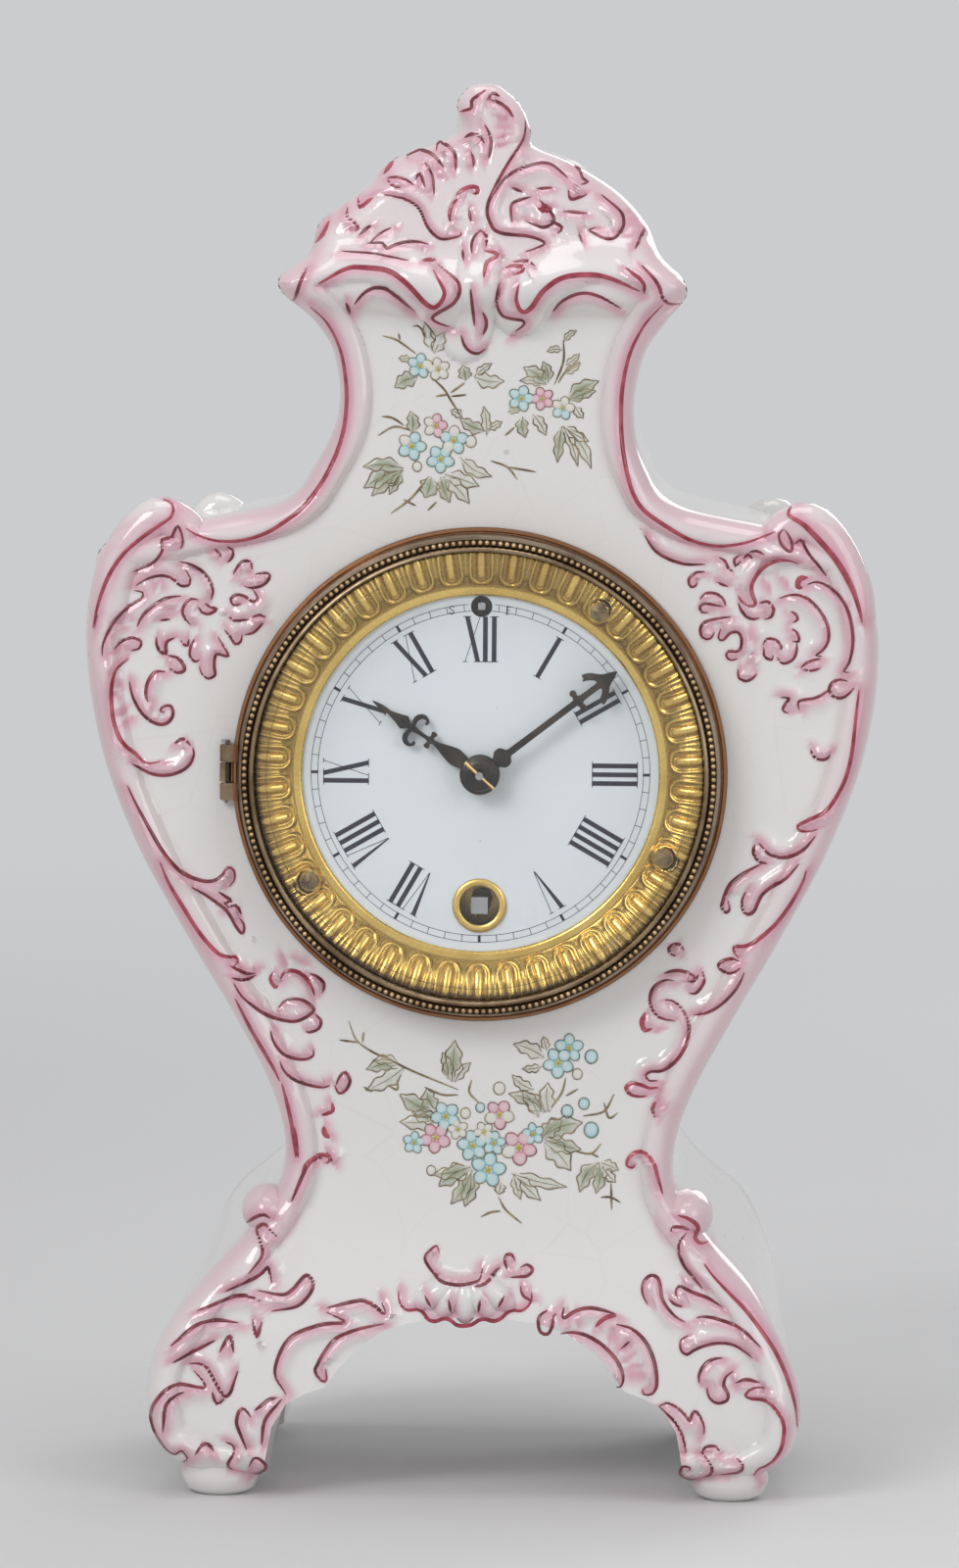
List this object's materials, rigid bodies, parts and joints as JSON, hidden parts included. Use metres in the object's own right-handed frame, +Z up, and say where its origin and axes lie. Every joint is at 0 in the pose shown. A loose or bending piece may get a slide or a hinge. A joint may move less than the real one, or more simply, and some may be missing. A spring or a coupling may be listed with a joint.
{
  "type": "porcelain mantel clock",
  "caption": "Rococo porcelain mantel clock on scrolled feet, with a hinged beaded bezel, enamel dial, spring movement, short pendulum and a hinged round back door.",
  "frame": {"origin": "on the table under the middle of the case, at the bottom centre of the bounding box", "axes": "+X to the right of someone who looks at the dial, -Y to the front, +Z up"},
  "size_m": [0.1712, 0.116, 0.305],
  "materials": {
    "porcelain": "white glaze with pink tinted borders, painted lines and flower sprays, fine crazing",
    "gilt_brass": "bright gilt, stamped lobes",
    "aged_brass": "tarnished brass",
    "brass": "polished, lightly tarnished",
    "enamel": "smooth white enamel with black numerals",
    "steel": "ground",
    "blued_steel": "blackened steel",
    "glass": "clear, convex, bevelled edge"
  },
  "bodies": {
    "case": {"case_body": "porcelain", "dial_surround": "gilt_brass", "surround_screw_1": "brass", "surround_screw_2": "brass", "surround_screw_3": "brass", "dial_plate": "enamel", "dial_pan": "aged_brass", "winding_grommet": "gilt_brass", "bezel_hinge_leaf": "aged_brass", "bezel_hinge_pin": "steel", "front_plate": "brass", "back_plate": "brass", "plate_pillar_1": "brass", "plate_pillar_2": "brass", "plate_pillar_3": "brass", "plate_pillar_4": "brass", "pillar_nut_1": "steel", "pillar_nut_2": "steel", "pillar_nut_3": "steel", "pillar_nut_4": "steel", "minute_wheel_post": "steel", "mainspring": "steel", "pendulum_cock": "brass", "back_ring": "brass", "case_screw_left": "steel", "case_screw_right": "steel", "back_door_hinge_pin": "steel"},
    "bezel": {"bezel_ring": "aged_brass", "bezel_glass": "glass", "bezel_glass_clip": "brass"},
    "door": {"back_door": "brass", "back_door_knob": "brass"},
    "centre_arbor_body": {"centre_arbor": "steel", "centre_wheel": "brass", "cannon_pinion": "steel", "minute_hand": "blued_steel", "hand_washer": "blued_steel", "taper_pin": "brass"},
    "hour_wheel_body": {"hour_wheel": "brass", "hour_hand": "blued_steel"},
    "minute_wheel_body": {"minute_wheel": "brass"},
    "intermediate_body": {"intermediate_arbor": "steel", "intermediate_wheel": "brass"},
    "great_wheel_body": {"great_wheel": "brass"},
    "winding_body": {"winding_arbor": "steel", "ratchet_wheel": "steel"},
    "click_body": {"click": "steel"},
    "third_body": {"third_arbor": "steel", "third_wheel": "brass"},
    "escape_body": {"escape_arbor": "steel", "escape_wheel": "brass"},
    "pallet_body": {"pallet_arbor": "steel", "pallets": "steel"},
    "regulator_arbor_body": {"regulator_arbor": "steel"},
    "regulator_screw_body": {"regulator_screw": "steel"},
    "regulator_slide_body": {"regulator_slide": "brass"},
    "pendulum_body": {"suspension_spring": "steel", "pendulum_rod": "steel", "pendulum_bob": "brass"}
  },
  "joints": [
    {"name": "bezel_hinge", "type": "hinge", "parent": "case", "child": "bezel", "pos_m": [-0.05485, -0.0465, 0.1565], "axis": [0, 0, -1], "range_deg": [0, 100]},
    {"name": "back_door_hinge", "type": "hinge", "parent": "case", "child": "door", "pos_m": [0.0512, 0.0529, 0.1565], "axis": [0, 0, -1], "range_deg": [0, 100]},
    {"name": "centre_turn", "type": "hinge", "parent": "case", "child": "centre_arbor_body", "pos_m": [0, 0, 0.1565], "axis": [0, 1, 0], "continuous": true},
    {"name": "hour_turn", "type": "hinge", "parent": "case", "child": "hour_wheel_body", "pos_m": [0, 0, 0.1565], "axis": [0, 1, 0], "continuous": true},
    {"name": "minute_wheel_turn", "type": "hinge", "parent": "case", "child": "minute_wheel_body", "pos_m": [-0.012, 0, 0.1565], "axis": [0, 1, 0], "continuous": true},
    {"name": "intermediate_turn", "type": "hinge", "parent": "case", "child": "intermediate_body", "pos_m": [0.0094, 0, 0.14481], "axis": [0, 1, 0], "continuous": true},
    {"name": "great_wheel_turn", "type": "hinge", "parent": "case", "child": "great_wheel_body", "pos_m": [0, 0, 0.12801], "axis": [0, 1, 0], "continuous": true},
    {"name": "third_turn", "type": "hinge", "parent": "case", "child": "third_body", "pos_m": [-0.0115, 0, 0.16546], "axis": [0, 1, 0], "continuous": true},
    {"name": "escape_turn", "type": "hinge", "parent": "case", "child": "escape_body", "pos_m": [0, 0, 0.17352], "axis": [0, 1, 0], "continuous": true},
    {"name": "winding_turn", "type": "hinge", "parent": "great_wheel_body", "child": "winding_body", "pos_m": [0, 0, 0.12801], "axis": [0, 1, 0], "range_deg": [0, 2160]},
    {"name": "click_pivot", "type": "hinge", "parent": "great_wheel_body", "child": "click_body", "pos_m": [-0.01071, 0, 0.12411], "axis": [0, 1, 0], "range_deg": [0, 12], "stiffness_Nm_per_rad": 0.002},
    {"name": "pallet_swing", "type": "hinge", "parent": "case", "child": "pallet_body", "pos_m": [0, 0, 0.18393], "axis": [0, 1, 0], "range_deg": [-3, 3]},
    {"name": "regulator_turn", "type": "hinge", "parent": "case", "child": "regulator_arbor_body", "pos_m": [0, 0, 0.1925], "axis": [0, 1, 0], "range_deg": [-1080, 1080]},
    {"name": "regulator_screw_turn", "type": "hinge", "parent": "case", "child": "regulator_screw_body", "pos_m": [0, 0.012, 0.1925], "axis": [0, 0, 1], "range_deg": [-1080, 1080]},
    {"name": "regulator_slide_travel", "type": "slide", "parent": "case", "child": "regulator_slide_body", "axis": [0, 0, 1], "range_m": [-0.0015, 0.0015]},
    {"name": "pendulum_swing", "type": "hinge", "parent": "regulator_slide_body", "child": "pendulum_body", "pos_m": [0, 0.012, 0.18393], "axis": [0, 1, 0], "range_deg": [-3, 3]}
  ],
  "couplings": [
    {"joint": "hour_turn", "follows": "centre_turn", "ratio": 0.083333},
    {"joint": "minute_wheel_turn", "follows": "centre_turn", "ratio": -0.33333},
    {"joint": "intermediate_turn", "follows": "centre_turn", "ratio": -0.2},
    {"joint": "great_wheel_turn", "follows": "centre_turn", "ratio": 0.033333},
    {"joint": "third_turn", "follows": "centre_turn", "ratio": -12.5},
    {"joint": "escape_turn", "follows": "centre_turn", "ratio": 150},
    {"joint": "pallet_swing", "follows": "pendulum_swing", "ratio": 1},
    {"joint": "regulator_turn", "follows": "regulator_slide_travel", "rad_per_m": 12566},
    {"joint": "regulator_screw_turn", "follows": "regulator_slide_travel", "rad_per_m": 12566}
  ]
}
